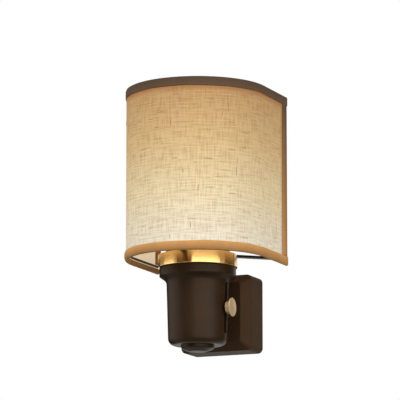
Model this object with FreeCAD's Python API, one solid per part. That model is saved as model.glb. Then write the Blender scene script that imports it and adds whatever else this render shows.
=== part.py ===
import FreeCAD, Part
import math
import os

V = FreeCAD.Vector

# Plug-in night light. Millimetres, X to the right, Y along the blades, Z up.
# The origin is the middle of the square back face, between the two blades.

# Fits
AXIS_Y = -43.8            # upright axis of body, bulb and shade
CLEAR = 0.15              # gap round pieces that drop into one another
RUN = 0.3                 # gap between pieces that move past one another
GRIP = 0.05               # gap of threads and pushed-on pieces
SEAM = 0.02               # gap at a spot weld

# Plug block
BASE_HALF = 21.9          # half the side of the square block
BASE_DEPTH = 16.8         # depth of its straight part
BASE_CORNER = 3.0
BASE_EDGE_R = 0.8         # rounding where the bevel starts
FACE_HALF = 17.0          # half the side of the bevelled front face
FACE_DEPTH = 21.8
FACE_CORNER = 1.6
FACE_EDGE_R = 0.8
WALL = 2.2                # moulded wall of block and body
INNER_CORNER = 0.6
SHOULDER_BACK = 1.0       # how far the hollow's bevel starts behind the outer one
PLATE_T = 2.4             # closing plate at the back of the block
REBATE = 1.1
SCREW_OFF = 15.6
SCREW_PLACES = [(sx * SCREW_OFF, sz * SCREW_OFF) for sx in (-1, 1) for sz in (-1, 1)]
POST_R = 3.1
SCREW_R = 1.5
SCREW_HEAD_R = 2.8
SCREW_HEAD_H = 1.5
SCREW_DEPTH = 10.5
CROSS_HALF = 1.6          # cross recess
CROSS_W = 0.6
CROSS_DEPTH = 0.7

# Blades of the polarised plug
BLADE_PITCH = 12.7
BLADE_T = 1.5
BLADE_OUT = 17.0          # length that stands out of the back face
BLADE_TAIL = 9.6
BLADE_TIP_TAPER = 2.2
BLADE_HOLE_R = 1.6
BLADE_HOLE_Y = 11.7
NEUTRAL_W = 7.9
HOT_W = 6.3
BLADES = [(-BLADE_PITCH / 2, NEUTRAL_W), (BLADE_PITCH / 2, HOT_W)]
CARRIER_HALF_X = 12.0
CARRIER_HALF_Z = 7.0
CARRIER_FRONT = 8.0
BARRIER_T = 1.2
BARRIER_OUT = 3.0

# Tapered body with its flange
BODY_BOTTOM = -21.6
BODY_R_LOW = 16.7
BODY_R_HIGH = 17.75
BODY_FILLET = 4.0
COVE_Z = 15.0             # corner of the hollow curve under the flange
COVE_R = 3.8
FLANGE_LOW = 17.6
FLANGE_LOW_R = 1.0
FLANGE_TOP = 22.7
FLANGE_R = 21.8
FLANGE_EDGE_R = 0.8
RIB_T = 1.4
FLOOR_Z = BODY_BOTTOM + WALL
PAD_HALF = 8.0
PAD_FRONT = AXIS_Y + BODY_R_LOW - WALL - 1.6    # flat seat for the nut inside the cup
CAP_DROP = 3.6            # height of the bottom cap
CAP_NUT_R = 9.6
CAP_BORE = 1.9

# Threaded tubes and nuts, ten millimetres across
TUBE_R = 4.9
TUBE_BORE = 3.6
NUT_ACROSS = 13.0
NUT_T = 3.0
NECK_R = 9.0
NECK_FLARE = 1.2
NECK_TUBE_FRONT = PAD_FRONT - NUT_T - 1.2

# Slide dimmer
SLOT_Z = -0.8             # middle of the slot and of the knob at rest
SLOT_LENGTH = 29.5
SLOT_WIDTH = 3.2
TRAVEL = 11.5             # each way from the middle
BOARD_X = 6.8
BOARD_T = 1.4
BOARD_HALF_Y = 7.4
TRACK_X = BOARD_X + BOARD_T
TRACK_FACE_X = 13.2
TRACK_FLOOR = 1.0
TRACK_HALF_Y = 4.6
TRACK_HALF_Z = 17.2
CHANNEL_HALF_Y = 3.1
CARRIAGE_HALF_Y = CHANNEL_HALF_Y - RUN
CARRIAGE_HALF_Z = 3.2
STEM_HALF_Y = 1.2
STEM_HALF_Z = SLOT_LENGTH / 2 - TRAVEL - RUN - 0.1
STEM_CORNER = 1.0
KNOB_R = 5.3
KNOB_BACK_X = 20.8
KNOB_EDGE = 0.75
KNOB_FACE_X = 22.2        # outermost point of the domed knob
KNOB_COLLAR_R = 3.6
COLLAR_X = BODY_R_HIGH + 0.45
STEM_END_X = KNOB_BACK_X + 0.6
SOCKET_GAP = 0.03

# Brass collar, white cap and lampholder
COLLAR_R = 22.6
COLLAR_TOP = 30.0
COLLAR_T = 0.8
CAP_R = COLLAR_R - COLLAR_T - GRIP
CAP_LIP = 1.6
CAP_LIP_Z = FLANGE_TOP + 0.5
CAP_T = 1.4
HOLDER_LOW = 17.5
HOLDER_TOP = 38.0
HOLDER_R = 13.6           # outer thread of the lampholder
HOLDER_BORE = 8.4
SHELL_R = 6.6             # candelabra screw shell
SHELL_T = 0.4
CONTACT_Z = HOLDER_LOW + 3.6
RING_R = 18.2
RING_TOP = 5.0
RING_FLANGE = 1.8
FLUTES = 20
FLUTE_R = 0.85

# Candelabra bulb
BULB_CAP_R = 5.95
BULB_TIP_Z = 21.9
BULB_SKIRT_Z = 25.0
BULB_GLASS_Z = 39.4
BULB_TOP = 75.0
BULB_R = 11.1
STEM_R = 1.7
STEM_TALL = 22.0

# Half-round shade
SHADE_R = 41.2            # outside of the trim
SHADE_BACK = -8.4         # open back edge
SHADE_LOW = 26.65
SHADE_TOP = 125.45
TAPE_T = 0.35
TAPE_W = 5.3              # long edges, outside
TAPE_INNER_LOW = 2.9      # bottom edge, inside: leaves the hoop and arms their way
SIDE_TAPE_W = 7.6         # upright edges, outside
SIDE_TAPE_INNER = 5.5
LINEN_T = 0.55
LINER_T = 0.45
WIRE_R = 0.65
SPIDER_T = 1.3
SPIDER_R = 19.0
SPIDER_BORE = 14.0
ARM_W = 4.2
LINER_IN = TAPE_T + LINEN_T + LINER_T
WIRE_IN = LINER_IN + SEAM + WIRE_R
POCKET_IN = WIRE_IN + WIRE_R + SEAM
SHEET_BACK = SHADE_BACK - TAPE_T
WIRE_Y = SHEET_BACK - WIRE_R - SEAM
WIRE_LOW = COLLAR_TOP + SPIDER_T / 2
WIRE_TOP = SHADE_TOP - TAPE_W - WIRE_R - SEAM

# Internal leads
LEAD_R = 1.0
LEAD_X = 1.3
LEAD_BEND = 2.3
LEAD_ENTRY_Y = -14.4
LEAD_BOARD_Z = -9.0
LEAD_DIMMED_X = 3.4
LEAD_DIMMED_Z = 8.0


def save(name, shape):
    """Write one named piece and report its volume."""
    assert shape.isValid(), name
    shape.exportStep("parts/" + name + ".step")
    print(name, len(shape.Solids), round(shape.Volume, 1))


def rounded_outline(corners):
    """Closed outline through flat points, each (a, b, radius), with tangent arcs."""
    count = len(corners)
    stops = []
    for i in range(count):
        before = V(corners[i - 1][0], corners[i - 1][1], 0)
        here = V(corners[i][0], corners[i][1], 0)
        after = V(corners[(i + 1) % count][0], corners[(i + 1) % count][1], 0)
        radius = corners[i][2] if len(corners[i]) > 2 else 0
        if radius == 0:
            stops.append((here, None, here))
            continue
        back = (before - here).normalize()
        ahead = (after - here).normalize()
        half = back.getAngle(ahead) / 2
        reach = radius / math.tan(half)
        bisector = (back + ahead).normalize()
        middle = here + bisector * (radius / math.sin(half) - radius)
        stops.append((here + back * reach, middle, here + ahead * reach))
    edges = []
    for i in range(count):
        start, middle, end = stops[i]
        if middle is not None:
            edges.append(Part.Arc(start, middle, end).toShape())
        following = stops[(i + 1) % count][0]
        if (following - end).Length > 1e-6:
            edges.append(Part.LineSegment(end, following).toShape())
    return Part.Wire(edges)


def turned(corners):
    """Solid of revolution about the lamp's upright axis from (radius, height) corners."""
    outline = rounded_outline(corners)
    face = Part.Face(outline)
    face.rotate(V(0, 0, 0), V(1, 0, 0), 90)
    solid = face.revolve(V(0, 0, 0), V(0, 0, 1), 360)
    solid.translate(V(0, AXIS_Y, 0))
    return solid


def square_outline(half, radius, y, half_z=None):
    """Upright rounded rectangle at depth y."""
    tall = half if half_z is None else half_z
    corners = [(-half, -tall, radius), (half, -tall, radius),
               (half, tall, radius), (-half, tall, radius)]
    outline = rounded_outline(corners)
    outline.rotate(V(0, 0, 0), V(1, 0, 0), 90)
    outline.translate(V(0, y, 0))
    return outline


def slab(half, radius, y_front, y_back, half_z=None):
    """Rounded block between two depths."""
    face = Part.Face(square_outline(half, radius, y_front, half_z))
    return face.extrude(V(0, y_back - y_front, 0))


def box(x0, x1, y0, y1, z0, z1):
    """Plain block between two corners."""
    return Part.makeBox(x1 - x0, y1 - y0, z1 - z0, V(x0, y0, z0))


def centred(x0, x1, half_y, half_z, y=AXIS_Y, z=SLOT_Z):
    """Block along X, centred on a line beside the lamp's axis."""
    return box(x0, x1, y - half_y, y + half_y, z - half_z, z + half_z)


def rod_y(radius, y0, y1, x=0.0, z=0.0):
    """Round bar along Y."""
    return Part.makeCylinder(radius, y1 - y0, V(x, y0, z), V(0, 1, 0))


def rod_z(radius, z0, z1, x=0.0, y=AXIS_Y):
    """Round bar along Z."""
    return Part.makeCylinder(radius, z1 - z0, V(x, y, z0), V(0, 0, 1))


def hexagon(start, direction):
    """Hexagonal tube nut, its first face at start."""
    points = []
    for i in range(7):
        angle = math.radians(60 * i + 30)
        reach = NUT_ACROSS / 2 / math.cos(math.radians(30))
        points.append(V(reach * math.cos(angle), reach * math.sin(angle), 0))
    nut = Part.Face(Part.makePolygon(points)).extrude(V(0, 0, NUT_T))
    nut = nut.cut(Part.makeCylinder(TUBE_R + GRIP, NUT_T))
    nut.Placement = FreeCAD.Placement(start, FreeCAD.Rotation(V(0, 0, 1), direction))
    return nut


def bevelled(half, corner, face_half, face_corner, shoulder, face):
    """Square block from the back face with a bevel between shoulder and face."""
    block = slab(half, corner, -shoulder, 0)
    bevel = Part.makeLoft([square_outline(half, corner, -shoulder),
                           square_outline(face_half, face_corner, -face)], True, True)
    return block.fuse(bevel).removeSplitter()


def plug_block():
    """Square block: hollow moulding, bevelled to its front face, with screw posts."""
    outer = bevelled(BASE_HALF, BASE_CORNER, FACE_HALF, FACE_CORNER, BASE_DEPTH, FACE_DEPTH)
    front = [e for e in outer.Edges if e.BoundBox.YMax < -FACE_DEPTH + 0.01]
    outer = outer.makeFillet(FACE_EDGE_R, front)
    rim = [e for e in outer.Edges if abs(e.BoundBox.YMax + BASE_DEPTH) < 0.01
           and abs(e.BoundBox.YMin + BASE_DEPTH) < 0.01]
    outer = outer.makeFillet(BASE_EDGE_R, rim)
    hollow = bevelled(BASE_HALF - WALL, INNER_CORNER, FACE_HALF - WALL, INNER_CORNER,
                      BASE_DEPTH - SHOULDER_BACK, FACE_DEPTH - WALL)
    shell = outer.cut(hollow)
    for x, z in SCREW_PLACES:
        post = rod_y(POST_R, -FACE_DEPTH + WALL, -PLATE_T, x, z)
        shell = shell.fuse(post.common(outer))
    for x, z in SCREW_PLACES:
        shell = shell.cut(rod_y(SCREW_R, -SCREW_DEPTH - 1, 0, x, z))
    rebate = slab(BASE_HALF - REBATE, BASE_CORNER - REBATE, -PLATE_T, 0)
    shell = shell.cut(rebate)
    shell = shell.cut(rod_y(TUBE_R + CLEAR, -FACE_DEPTH - 1, -FACE_DEPTH + WALL + 1))
    return shell.removeSplitter()


def back_plate():
    """Closing plate with blade slots and countersunk screw holes."""
    plate = slab(BASE_HALF - REBATE - CLEAR, BASE_CORNER - REBATE - CLEAR, -PLATE_T, 0)
    for x, width in BLADES:
        plate = plate.cut(centred(x - BLADE_T / 2 - CLEAR, x + BLADE_T / 2 + CLEAR,
                                  PLATE_T + 1, width / 2 + CLEAR, 0, 0))
    for x, z in SCREW_PLACES:
        plate = plate.cut(rod_y(SCREW_R + CLEAR, -PLATE_T - 1, 1, x, z))
        plate = plate.cut(Part.makeCone(SCREW_R + CLEAR, SCREW_HEAD_R + CLEAR, SCREW_HEAD_H,
                                        V(x, -SCREW_HEAD_H, z), V(0, 1, 0)))
    return plate


def plate_screws():
    """Four countersunk screws that hold the back plate."""
    screws = []
    shank_r = SCREW_R - CLEAR + GRIP
    for x, z in SCREW_PLACES:
        head = Part.makeCone(shank_r, SCREW_HEAD_R, SCREW_HEAD_H,
                             V(x, -SCREW_HEAD_H, z), V(0, 1, 0))
        shank = rod_y(shank_r, -SCREW_DEPTH, -SCREW_HEAD_H, x, z)
        cross = box(x - CROSS_HALF, x + CROSS_HALF, -CROSS_DEPTH, 1,
                    z - CROSS_W / 2, z + CROSS_W / 2)
        cross = cross.fuse(box(x - CROSS_W / 2, x + CROSS_W / 2, -CROSS_DEPTH, 1,
                               z - CROSS_HALF, z + CROSS_HALF))
        screws.append(head.fuse(shank).cut(cross).removeSplitter())
    return Part.makeCompound(screws)


def blade(x, width):
    """Flat blade with tapered tip, locking hole and soldered tail."""
    half = width / 2
    tip = half - BLADE_TIP_TAPER / 2
    corners = [(-half, -BLADE_TAIL), (half, -BLADE_TAIL), (half, BLADE_OUT - BLADE_TIP_TAPER),
               (tip, BLADE_OUT), (-tip, BLADE_OUT), (-half, BLADE_OUT - BLADE_TIP_TAPER)]
    points = [V(x - BLADE_T / 2, y, z) for z, y in corners]
    solid = Part.Face(Part.makePolygon(points + points[:1])).extrude(V(BLADE_T, 0, 0))
    hole = Part.makeCylinder(BLADE_HOLE_R, BLADE_T + 2, V(x - BLADE_T / 2 - 1, BLADE_HOLE_Y, 0),
                             V(1, 0, 0))
    return solid.cut(hole)


def blade_carrier():
    """Insulating block that grips both blades behind the plate."""
    block = slab(CARRIER_HALF_X, 1.5, -CARRIER_FRONT, -PLATE_T, CARRIER_HALF_Z)
    for x, width in BLADES:
        block = block.cut(centred(x - BLADE_T / 2 - GRIP, x + BLADE_T / 2 + GRIP,
                                  CARRIER_FRONT + 1, width / 2 + GRIP, 0, 0))
    barrier = box(-BARRIER_T / 2, BARRIER_T / 2, -CARRIER_FRONT - BARRIER_OUT, -CARRIER_FRONT,
                  -CARRIER_HALF_Z, CARRIER_HALF_Z)
    return block.fuse(barrier).removeSplitter()


def body_outer():
    """Solid outside form of the tapered cup with its flared flange."""
    return turned([(0, BODY_BOTTOM), (BODY_R_LOW, BODY_BOTTOM, BODY_FILLET),
                   (BODY_R_HIGH, COVE_Z, COVE_R), (FLANGE_R, FLANGE_LOW, FLANGE_LOW_R),
                   (FLANGE_R, FLANGE_TOP, FLANGE_EDGE_R), (0, FLANGE_TOP)])


def body_shell():
    """Open cup: tapered wall, flange, dimmer slot, nut seat and bottom hole."""
    over = FLANGE_TOP + 1
    inner = turned([(0, FLOOR_Z), (BODY_R_LOW - WALL, FLOOR_Z, BODY_FILLET - WALL),
                    (BODY_R_HIGH - WALL, COVE_Z + 1, COVE_R),
                    (FLANGE_R - WALL, FLANGE_LOW + 1.6, FLANGE_EDGE_R),
                    (FLANGE_R - WALL, over), (0, over)])
    shell = body_outer().cut(inner)
    pad = box(-PAD_HALF, PAD_HALF, PAD_FRONT, AXIS_Y + BODY_R_HIGH, -PAD_HALF, PAD_HALF)
    shell = shell.fuse(pad.common(body_outer()))
    seat = centred(TRACK_FACE_X, BODY_R_HIGH, TRACK_HALF_Y + 1, TRACK_HALF_Z)
    shell = shell.fuse(seat.common(body_outer()))
    slot = centred(TRACK_FACE_X - 1, FLANGE_R, SLOT_WIDTH / 2, SLOT_LENGTH / 2)
    ends = [e for e in slot.Edges if e.BoundBox.XLength > 4]
    shell = shell.cut(slot.makeFillet(SLOT_WIDTH / 2 - GRIP, ends))
    shell = shell.cut(rod_y(TUBE_R + CLEAR, PAD_FRONT - 1, AXIS_Y + BODY_R_HIGH + 1))
    shell = shell.cut(rod_z(TUBE_R + CLEAR, BODY_BOTTOM - 1, FLOOR_Z + 1))
    for turn in (90, 210, 330):
        rib = centred(BODY_R_HIGH - WALL - 0.4, FLANGE_R - 1, RIB_T / 2,
                      (FLANGE_TOP - FLANGE_LOW) / 2, AXIS_Y, (FLANGE_TOP + FLANGE_LOW) / 2 - 1)
        rib.rotate(V(0, AXIS_Y, 0), V(0, 0, 1), turn)
        shell = shell.fuse(rib.common(body_outer()))
    return shell.removeSplitter()


def bottom_cap():
    """Domed cap nut that closes the underside and holds the lamp tube."""
    low = BODY_BOTTOM - CAP_DROP
    cap = turned([(0, low), (5.0, low, 4.0), (CAP_NUT_R - 0.4, low + 1.8, 1.2),
                  (CAP_NUT_R, BODY_BOTTOM), (0, BODY_BOTTOM)])
    return cap.cut(rod_z(TUBE_R + GRIP, BODY_BOTTOM - CAP_BORE, BODY_BOTTOM + 1))


def lamp_tube():
    """Upright threaded tube from the bottom cap to the lampholder."""
    tube = rod_z(TUBE_R, BODY_BOTTOM - CAP_BORE + 0.2, HOLDER_LOW + 2.4)
    return tube.cut(rod_z(TUBE_BORE, BODY_BOTTOM - 3, HOLDER_LOW + 3))


def tube_nut():
    """Hexagonal nut that clamps the tube to the floor of the cup."""
    return hexagon(V(0, AXIS_Y, FLOOR_Z), V(0, 0, 1))


def neck_spacer():
    """Short round neck between block and body, cut to the body's curve."""
    neck = rod_y(NECK_R, AXIS_Y + BODY_R_LOW - 4, -FACE_DEPTH)
    flare = Part.makeCone(NECK_R, NECK_R + NECK_FLARE, NECK_FLARE,
                          V(0, -FACE_DEPTH - NECK_FLARE, 0), V(0, 1, 0))
    neck = neck.fuse(flare).cut(body_outer())
    return neck.cut(rod_y(TUBE_R + CLEAR, AXIS_Y, 0)).removeSplitter()


def neck_tube():
    """Level threaded tube that carries the leads through the neck."""
    tube = rod_y(TUBE_R, NECK_TUBE_FRONT, -FACE_DEPTH + WALL + NUT_T + 1.4)
    return tube.cut(rod_y(TUBE_BORE, AXIS_Y, 0))


def block_nut():
    """Nut inside the plug block."""
    return hexagon(V(0, -FACE_DEPTH + WALL, 0), V(0, 1, 0))


def body_nut():
    """Nut inside the cup."""
    return hexagon(V(0, PAD_FRONT, 0), V(0, -1, 0))


def dimmer_board():
    """Circuit board of the slide dimmer."""
    return centred(BOARD_X, TRACK_X, BOARD_HALF_Y, TRACK_HALF_Z + 0.8)


def dimmer_track():
    """Open channel in which the carriage slides."""
    track = centred(TRACK_X, TRACK_FACE_X, TRACK_HALF_Y, TRACK_HALF_Z)
    return track.cut(centred(TRACK_X + TRACK_FLOOR, TRACK_FACE_X + 1, CHANNEL_HALF_Y,
                             TRACK_HALF_Z - TRACK_FLOOR))


def stem_bar(x0, x1, gap=0.0):
    """Round-cornered bar of the slider's stem."""
    bar = centred(x0, x1, STEM_HALF_Y + gap, STEM_HALF_Z + gap)
    along = [e for e in bar.Edges if e.BoundBox.XLength > x1 - x0 - 0.01]
    return bar.makeFillet(STEM_CORNER + gap, along)


def dimmer_carriage():
    """Sliding block with its stem, which passes out through the slot."""
    block = centred(TRACK_X + TRACK_FLOOR + RUN, TRACK_FACE_X - RUN, CARRIAGE_HALF_Y,
                    CARRIAGE_HALF_Z)
    return block.fuse(stem_bar(TRACK_FACE_X - 2 * RUN, STEM_END_X)).removeSplitter()


def dimmer_knob():
    """Domed round knob with a shouldered collar, pushed onto the stem."""
    corners = [(0, COLLAR_X), (KNOB_COLLAR_R, COLLAR_X), (KNOB_COLLAR_R, KNOB_BACK_X, 0.5),
               (KNOB_R, KNOB_BACK_X, 0.25), (KNOB_R, KNOB_BACK_X + KNOB_EDGE, 0.4),
               (0, KNOB_FACE_X)]
    face = Part.Face(rounded_outline(corners))
    knob = face.revolve(V(0, 0, 0), V(0, 1, 0), 360)
    knob.Placement = FreeCAD.Placement(V(0, AXIS_Y, SLOT_Z),
                                       FreeCAD.Rotation(V(0, 1, 0), V(1, 0, 0)))
    return knob.cut(stem_bar(COLLAR_X - 1, STEM_END_X + GRIP, SOCKET_GAP))


def brass_collar():
    """Brass sleeve with a turned-in lip that sits on the flange."""
    return turned([(CAP_R - CAP_LIP, FLANGE_TOP), (COLLAR_R, FLANGE_TOP, 0.3),
                   (COLLAR_R, COLLAR_TOP, 0.3), (COLLAR_R - COLLAR_T, COLLAR_TOP),
                   (COLLAR_R - COLLAR_T, CAP_LIP_Z), (CAP_R - CAP_LIP, CAP_LIP_Z)])


def top_cap():
    """White inverted cup inside the collar, under the shade's fitter."""
    under = COLLAR_TOP - CAP_T
    return turned([(HOLDER_R + 0.2, under), (CAP_R - CAP_LIP, under, 0.6),
                   (CAP_R - CAP_LIP, CAP_LIP_Z), (CAP_R, CAP_LIP_Z),
                   (CAP_R, COLLAR_TOP, 0.3), (HOLDER_R + 0.2, COLLAR_TOP)])


def lampholder():
    """Moulded candelabra lampholder with shoulder and outer thread."""
    under = COLLAR_TOP - CAP_T
    body = turned([(0, HOLDER_LOW), (9.6, HOLDER_LOW, 1.2), (HOLDER_R - 1, HOLDER_LOW + 5.0, 1.0),
                   (HOLDER_R - 0.6, under - 1.8, 0.5), (HOLDER_R + 2.6, under - 1.8),
                   (HOLDER_R + 2.6, under), (HOLDER_R, under),
                   (HOLDER_R, HOLDER_TOP, 0.8), (HOLDER_BORE, HOLDER_TOP),
                   (HOLDER_BORE, HOLDER_TOP - 1.6), (SHELL_R, HOLDER_TOP - 1.6),
                   (SHELL_R, CONTACT_Z), (0, CONTACT_Z)])
    return body.cut(rod_z(TUBE_R + GRIP, HOLDER_LOW - 1, HOLDER_LOW + 2.5))


def screw_shell():
    """Brass screw shell lining the lampholder."""
    low = CONTACT_Z + 1.9
    return turned([(SHELL_R - SHELL_T, low), (SHELL_R, low),
                   (SHELL_R, HOLDER_TOP - 1.6), (SHELL_R - SHELL_T, HOLDER_TOP - 1.6)])


def centre_contact():
    """Springy brass tongue under the bulb's tip."""
    leaf = box(-2.2, 2.2, AXIS_Y - 5.0, AXIS_Y + 2.2, CONTACT_Z, CONTACT_Z + 0.4)
    button = rod_z(1.6, CONTACT_Z + 0.4, BULB_TIP_Z - GRIP)
    return leaf.fuse(button).removeSplitter()


def retaining_ring():
    """Fluted ring that screws down on the shade's fitter."""
    low = COLLAR_TOP + SPIDER_T + GRIP
    grip_r = RING_R - 1.6
    ring = turned([(HOLDER_R + 0.08, low), (RING_R, low, 0.5), (RING_R, low + 1.6, 0.5),
                   (grip_r, low + RING_FLANGE, 0.6), (grip_r - 0.2, low + RING_TOP, 0.6),
                   (HOLDER_R + 0.08, low + RING_TOP)])
    for i in range(FLUTES):
        angle = 2 * math.pi / FLUTES * i
        x = (grip_r + 0.5) * math.cos(angle)
        y = AXIS_Y + (grip_r + 0.5) * math.sin(angle)
        ring = ring.cut(rod_z(FLUTE_R, low + RING_FLANGE + 0.6, low + RING_TOP + 1, x, y))
    return ring


def bulb_cap():
    """Metal screw cap of the bulb."""
    inner = BULB_CAP_R - 0.5
    top = BULB_GLASS_Z
    return turned([(inner, BULB_SKIRT_Z), (BULB_CAP_R, BULB_SKIRT_Z, 0.3), (BULB_CAP_R, top - 1.2),
                   (BULB_CAP_R + 0.6, top - 0.4), (BULB_CAP_R + 0.6, top + 0.4),
                   (BULB_CAP_R + 0.1, top + 0.4), (inner, top - 1.0)])


def bulb_insulator():
    """Black glass cone between cap and tip."""
    outer = BULB_CAP_R - 0.55
    return turned([(2.0, BULB_TIP_Z + 0.8), (2.6, BULB_TIP_Z + 0.8), (outer, BULB_SKIRT_Z - 0.1),
                   (outer, BULB_SKIRT_Z + 1.2), (2.0, BULB_SKIRT_Z + 1.2)])


def bulb_tip():
    """Soldered contact at the end of the bulb."""
    return turned([(0, BULB_TIP_Z), (2.2, BULB_TIP_Z, 0.5), (2.5, BULB_TIP_Z + 0.75),
                   (1.95, BULB_TIP_Z + 0.8), (1.95, BULB_SKIRT_Z + 1), (0, BULB_SKIRT_Z + 1)])


def bulb_glass():
    """Frosted pear-shaped envelope, a thin shell with a drawn tip."""
    low = BULB_GLASS_Z
    outer = [V(5.2, low - 0.6, 0), V(6.0, low + 2.0, 0), V(9.6, low + 11.0, 0),
             V(BULB_R, low + 18.5, 0), V(9.2, low + 26.5, 0), V(4.6, low + 33.0, 0),
             V(0, BULB_TOP, 0)]
    inner = [V(4.5, low - 0.6, 0), V(5.3, low + 2.2, 0), V(8.9, low + 11.2, 0),
             V(BULB_R - 0.7, low + 18.5, 0), V(8.6, low + 26.0, 0), V(4.3, low + 32.0, 0),
             V(0, BULB_TOP - 0.9, 0)]
    outside = Part.BSplineCurve()
    outside.interpolate(outer)
    inside = Part.BSplineCurve()
    inside.interpolate(inner)
    outline = Part.Wire([outside.toShape(), Part.LineSegment(outer[-1], inner[-1]).toShape(),
                         inside.toShape(), Part.LineSegment(inner[0], outer[0]).toShape()])
    face = Part.Face(outline)
    face.rotate(V(0, 0, 0), V(1, 0, 0), 90)
    glass = face.revolve(V(0, 0, 0), V(0, 0, 1), 360)
    glass.translate(V(0, AXIS_Y, 0))
    return glass


def bulb_stem():
    """Stem with the light source inside the envelope."""
    low = BULB_SKIRT_Z + 1.2
    top = BULB_GLASS_Z + STEM_TALL
    return turned([(0, low), (3.6, low), (3.6, BULB_GLASS_Z), (STEM_R, BULB_GLASS_Z + 2.5, 1.0),
                   (STEM_R, top, 1.0), (0, top)])


def shade_outline(inset, back):
    """Closed plan of the shade's outside, drawn in by an inset: half round with straight sides."""
    r = SHADE_R - inset
    left = V(-r, AXIS_Y, 0)
    right = V(r, AXIS_Y, 0)
    arc = Part.Arc(right, V(0, AXIS_Y - r, 0), left).toShape()
    return Part.Wire([Part.LineSegment(V(r, back, 0), right).toShape(), arc,
                      Part.LineSegment(left, V(-r, back, 0)).toShape(),
                      Part.LineSegment(V(-r, back, 0), V(r, back, 0)).toShape()])


def shade_band(outer, inner, z0, z1, back):
    """Upright wall that follows the shade's plan between two insets."""
    solid = Part.Face(shade_outline(outer, back)).extrude(V(0, 0, z1 - z0))
    hollow = Part.Face(shade_outline(inner, back + 5)).extrude(V(0, 0, z1 - z0 + 2))
    hollow.translate(V(0, 0, -1))
    band = solid.cut(hollow)
    band.translate(V(0, 0, z0))
    return band


def shade_linen():
    """Linen skin of the shade."""
    return shade_band(TAPE_T, TAPE_T + LINEN_T, SHADE_LOW + TAPE_T, SHADE_TOP - TAPE_T, SHEET_BACK)


def shade_liner():
    """Stiff translucent sheet that backs the linen."""
    return shade_band(TAPE_T + LINEN_T, LINER_IN, SHADE_LOW + TAPE_T, SHADE_TOP - TAPE_T,
                      SHEET_BACK)


def edge_tape(edge, sign, inner_width):
    """Binding tape folded over a long edge of linen and backing."""
    inside = LINER_IN + TAPE_T
    legs = [(0, TAPE_T, TAPE_W), (LINER_IN, inside, inner_width), (0, inside, TAPE_T)]
    tape = None
    for outer, inner, width in legs:
        low, high = sorted((edge, edge + sign * width))
        leg = shade_band(outer, inner, low, high, SHADE_BACK)
        tape = leg if tape is None else tape.fuse(leg)
    for side in (-1, 1):
        for inset, width in ((LINER_IN, TAPE_W), (inside, inner_width)):
            low, high = sorted((edge, edge + sign * width))
            left, right = sorted((side * SHADE_R, side * (SHADE_R - inset)))
            tape = tape.fuse(box(left, right, SHEET_BACK, SHADE_BACK, low, high))
    return tape.removeSplitter()


def side_tape(side):
    """Binding tape folded round an upright back edge and the wire inside it."""
    inner = SHADE_R - POCKET_IN - TAPE_T
    legs = [(SHADE_R - TAPE_T, SHADE_R, SHADE_BACK - SIDE_TAPE_W),
            (inner, SHADE_R, SHEET_BACK),
            (inner, inner + TAPE_T, SHADE_BACK - SIDE_TAPE_INNER)]
    tape = None
    for near, far, front in legs:
        left, right = sorted((side * near, side * far))
        leg = box(left, right, front, SHADE_BACK, SHADE_LOW + TAPE_W, SHADE_TOP - TAPE_W)
        tape = leg if tape is None else tape.fuse(leg)
    return tape.removeSplitter()


def frame_wire(z, radius=WIRE_R):
    """Half-round wire hoop with straight ends at the back."""
    r = SHADE_R - WIRE_IN
    start = V(r, WIRE_Y + WIRE_R, z)
    path = Part.Wire([Part.LineSegment(start, V(r, AXIS_Y, z)).toShape(),
                      Part.Arc(V(r, AXIS_Y, z), V(0, AXIS_Y - r, z), V(-r, AXIS_Y, z)).toShape(),
                      Part.LineSegment(V(-r, AXIS_Y, z), V(-r, WIRE_Y + WIRE_R, z)).toShape()])
    section = Part.Wire([Part.makeCircle(radius, start, V(0, 1, 0))])
    return path.makePipeShell([section], True, False)


def upright_wire(side):
    """Upright wire welded between the two hoops at a back corner."""
    return rod_z(WIRE_R, WIRE_LOW + WIRE_R, WIRE_TOP - WIRE_R, side * (SHADE_R - WIRE_IN), WIRE_Y)


def shade_spider():
    """Fitter ring with arms welded to the bottom hoop, two at its ends and one in front."""
    top = COLLAR_TOP + SPIDER_T
    corner = V(SHADE_R - WIRE_IN, WIRE_Y - AXIS_Y, 0)
    angle = math.degrees(math.atan2(corner.y, corner.x))
    spider = rod_z(SPIDER_R, COLLAR_TOP, top)
    for turn in (angle, 180 - angle, 270):
        arm = box(0, corner.Length, AXIS_Y - ARM_W / 2, AXIS_Y + ARM_W / 2, COLLAR_TOP, top)
        arm.rotate(V(0, AXIS_Y, 0), V(0, 0, 1), turn)
        spider = spider.fuse(arm)
    inset = WIRE_IN + WIRE_R + SEAM
    inside = Part.Face(shade_outline(inset, WIRE_Y + WIRE_R)).extrude(V(0, 0, SPIDER_T))
    inside.translate(V(0, 0, COLLAR_TOP))
    spider = spider.common(inside)
    spider = spider.cut(rod_z(SPIDER_BORE, COLLAR_TOP - 1, top + 1))
    return spider.removeSplitter()


def lead(points):
    """Insulated lead along straight runs joined by tangent arcs."""
    edges = []
    start = points[0]
    for i in range(1, len(points) - 1):
        back = (points[i - 1] - points[i]).normalize()
        ahead = (points[i + 1] - points[i]).normalize()
        half = back.getAngle(ahead) / 2
        reach = LEAD_BEND / math.tan(half)
        middle = (back + ahead).normalize() * (LEAD_BEND / math.sin(half) - LEAD_BEND)
        first = points[i] + back * reach
        last = points[i] + ahead * reach
        edges.append(Part.LineSegment(start, first).toShape())
        edges.append(Part.Arc(first, points[i] + middle, last).toShape())
        start = last
    edges.append(Part.LineSegment(start, points[-1]).toShape())
    path = Part.Wire(edges)
    section = Part.Wire([Part.makeCircle(LEAD_R, points[0], points[1] - points[0])])
    return path.makePipeShell([section], True, False)


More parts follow.
